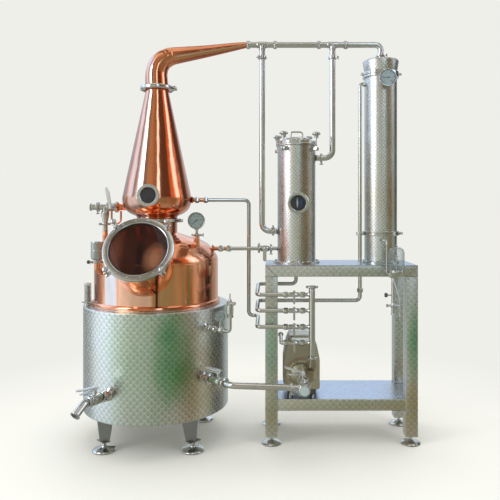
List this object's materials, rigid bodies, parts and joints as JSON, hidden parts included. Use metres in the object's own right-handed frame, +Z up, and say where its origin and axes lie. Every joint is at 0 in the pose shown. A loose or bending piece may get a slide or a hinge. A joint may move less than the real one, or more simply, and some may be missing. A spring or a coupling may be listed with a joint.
{
  "type": "alembic still",
  "caption": "Jacketed copper pot still with cone helmet and swan neck, botanical column, condenser, pump stand, valve manifold and parrot.",
  "frame": {"origin": "centre of the footprint's bounding box, at floor level", "axes": "+X from the pot towards the condenser (right, seen from the manway side), +Y from the manway side to the rear, +Z up"},
  "size_m": [2.1312, 1.1276, 2.562],
  "materials": {
    "copper": null,
    "pearl_steel": "stainless sheet with an overlapping engine-turned scallop pattern",
    "polished_steel": "polished stainless tube and clamps",
    "glass": "thick clear sight glass, dark inside",
    "dial_case": "polished gauge case with a pale grey-green face",
    "needle": "black painted pointer",
    "motor_paint": "khaki olive painted cover"
  },
  "bodies": {
    "still_body": {"basket_column": "pearl_steel", "basket_inlet_pipe": "polished_steel", "basket_outlet_pipe": "polished_steel", "basket_water_pipe": "polished_steel", "column_sight_glass": "glass", "condenser_cap": "pearl_steel", "condenser_coil": "copper", "condenser_elbow": "polished_steel", "condenser_feed_pipe": "polished_steel", "condenser_shell": "pearl_steel", "condenser_thermometer": "dial_case", "copper_pot": "copper", "drain_valve": "polished_steel", "fill_port": "polished_steel", "helmet": "copper", "helmet_sight_glass": "glass", "helmet_sight_ring": "polished_steel", "helmet_spray_pipe": "polished_steel", "jacket_gauge": "dial_case", "jacket_shell": "pearl_steel", "neck_clamp": "polished_steel", "parrot_body": "polished_steel", "parrot_glass": "glass", "pot_thermometer": "dial_case", "pump_head": "polished_steel", "pump_motor": "motor_paint", "relief_line": "polished_steel", "return_line": "polished_steel", "side_branch": "polished_steel", "stand_frame": "pearl_steel", "swan_neck": "copper", "swan_neck_clamp": "polished_steel", "transfer_pipe": "polished_steel", "valve_manifold": "polished_steel", "vapour_header": "polished_steel", "vent_cup": "glass"},
    "manway_door": {"manway_door": "polished_steel", "manway_glass": "glass"},
    "manway_knob_1": {"manway_knob_1": "polished_steel"},
    "manway_knob_2": {"manway_knob_2": "polished_steel"},
    "manway_knob_3": {"manway_knob_3": "polished_steel"},
    "manway_knob_4": {"manway_knob_4": "polished_steel"},
    "column_lid": {"column_lid": "polished_steel", "botanical_basket": "polished_steel"},
    "lid_clamp_1": {"lid_clamp_1": "polished_steel"},
    "lid_clamp_2": {"lid_clamp_2": "polished_steel"},
    "lid_clamp_3": {"lid_clamp_3": "polished_steel"},
    "lid_clamp_4": {"lid_clamp_4": "polished_steel"},
    "drain_lever": {"drain_lever": "polished_steel"},
    "transfer_lever": {"transfer_lever": "polished_steel"},
    "pump_inlet_lever": {"pump_inlet_lever": "polished_steel"},
    "side_branch_lever": {"side_branch_lever": "polished_steel"},
    "return_lever": {"return_lever": "polished_steel"},
    "manifold_lever_1": {"manifold_lever_1": "polished_steel"},
    "manifold_lever_2": {"manifold_lever_2": "polished_steel"},
    "manifold_lever_3": {"manifold_lever_3": "polished_steel"},
    "manifold_lever_4": {"manifold_lever_4": "polished_steel"},
    "pot_needle": {"pot_needle": "needle"},
    "gauge_needle": {"gauge_needle": "needle"},
    "condenser_needle": {"condenser_needle": "needle"}
  },
  "joints": [
    {"name": "manway_lift", "type": "slide", "parent": "still_body", "child": "manway_door", "axis": [0, -0.848, 0.5299], "range_m": [0, 0.3]},
    {"name": "manway_knob_1_swing", "type": "hinge", "parent": "manway_door", "child": "manway_knob_1", "pos_m": [-0.45528, -0.35774, 1.36878], "axis": [-0.7071, 0.3747, 0.5997], "range_deg": [0, 95]},
    {"name": "manway_knob_2_swing", "type": "hinge", "parent": "manway_door", "child": "manway_knob_2", "pos_m": [-0.75792, -0.35774, 1.36878], "axis": [-0.7071, -0.3747, -0.5997], "range_deg": [0, 95]},
    {"name": "manway_knob_3_swing", "type": "hinge", "parent": "manway_door", "child": "manway_knob_3", "pos_m": [-0.75792, -0.51812, 1.11213], "axis": [0.7071, -0.3747, -0.5997], "range_deg": [0, 95]},
    {"name": "manway_knob_4_swing", "type": "hinge", "parent": "manway_door", "child": "manway_knob_4", "pos_m": [-0.45528, -0.51812, 1.11213], "axis": [0.7071, 0.3747, 0.5997], "range_deg": [0, 95]},
    {"name": "lid_lift", "type": "slide", "parent": "still_body", "child": "column_lid", "axis": [0, 0, 1], "range_m": [0, 0.52]},
    {"name": "lid_clamp_1_swing", "type": "hinge", "parent": "still_body", "child": "lid_clamp_1", "pos_m": [0.42287, 0.03596, 1.8475], "axis": [0.5736, 0.8192, 0], "range_deg": [0, 95]},
    {"name": "lid_clamp_2_swing", "type": "hinge", "parent": "still_body", "child": "lid_clamp_2", "pos_m": [0.38604, 0.24487, 1.8475], "axis": [-0.8192, 0.5736, 0], "range_deg": [0, 95]},
    {"name": "lid_clamp_3_swing", "type": "hinge", "parent": "still_body", "child": "lid_clamp_3", "pos_m": [0.17713, 0.20804, 1.8475], "axis": [-0.5736, -0.8192, 0], "range_deg": [0, 95]},
    {"name": "lid_clamp_4_swing", "type": "hinge", "parent": "still_body", "child": "lid_clamp_4", "pos_m": [0.21396, -0.00087, 1.8475], "axis": [0.8192, -0.5736, 0], "range_deg": [0, 95]},
    {"name": "drain_turn", "type": "hinge", "parent": "still_body", "child": "drain_lever", "pos_m": [-0.85704, -0.39588, 0.435], "axis": [0, 0, 1], "range_deg": [0, 90]},
    {"name": "transfer_turn", "type": "hinge", "parent": "still_body", "child": "transfer_lever", "pos_m": [-0.17326, -0.28799, 0.5004], "axis": [0, 0, 1], "range_deg": [0, 90]},
    {"name": "pump_inlet_turn", "type": "hinge", "parent": "still_body", "child": "pump_inlet_lever", "pos_m": [0.3224, -0.27, 0.4844], "axis": [0, 0, 1], "range_deg": [-90, 0]},
    {"name": "side_branch_turn", "type": "hinge", "parent": "still_body", "child": "side_branch_lever", "pos_m": [-0.895, 0.057, 1.475], "axis": [0, 1, 0], "range_deg": [-80, 0]},
    {"name": "return_turn", "type": "hinge", "parent": "still_body", "child": "return_lever", "pos_m": [0.093, 0.08402, 1.205], "axis": [0, 1, 0], "range_deg": [0, 90]},
    {"name": "manifold_lever_1_turn", "type": "hinge", "parent": "still_body", "child": "manifold_lever_1", "pos_m": [0.274, -0.1653, 0.9386], "axis": [0, 1, 0], "range_deg": [0, 90]},
    {"name": "manifold_lever_2_turn", "type": "hinge", "parent": "still_body", "child": "manifold_lever_2", "pos_m": [0.274, -0.1653, 0.8411], "axis": [0, 1, 0], "range_deg": [0, 90]},
    {"name": "manifold_lever_3_turn", "type": "hinge", "parent": "still_body", "child": "manifold_lever_3", "pos_m": [0.274, -0.1653, 0.7425], "axis": [0, 1, 0], "range_deg": [0, 90]},
    {"name": "manifold_lever_4_turn", "type": "hinge", "parent": "still_body", "child": "manifold_lever_4", "pos_m": [0.274, -0.1653, 0.645], "axis": [0, 1, 0], "range_deg": [0, 90]},
    {"name": "pot_needle_turn", "type": "hinge", "parent": "still_body", "child": "pot_needle", "pos_m": [-0.328, -0.078, 1.389], "axis": [0, 1, 0], "range_deg": [-20, 230]},
    {"name": "gauge_needle_turn", "type": "hinge", "parent": "still_body", "child": "gauge_needle", "pos_m": [-0.16259, -0.28784, 0.832], "axis": [0, 1, 0], "range_deg": [0, 270]},
    {"name": "condenser_needle_turn", "type": "hinge", "parent": "still_body", "child": "condenser_needle", "pos_m": [0.868, -0.034, 2.288], "axis": [0, 1, 0], "range_deg": [-45, 205]}
  ]
}
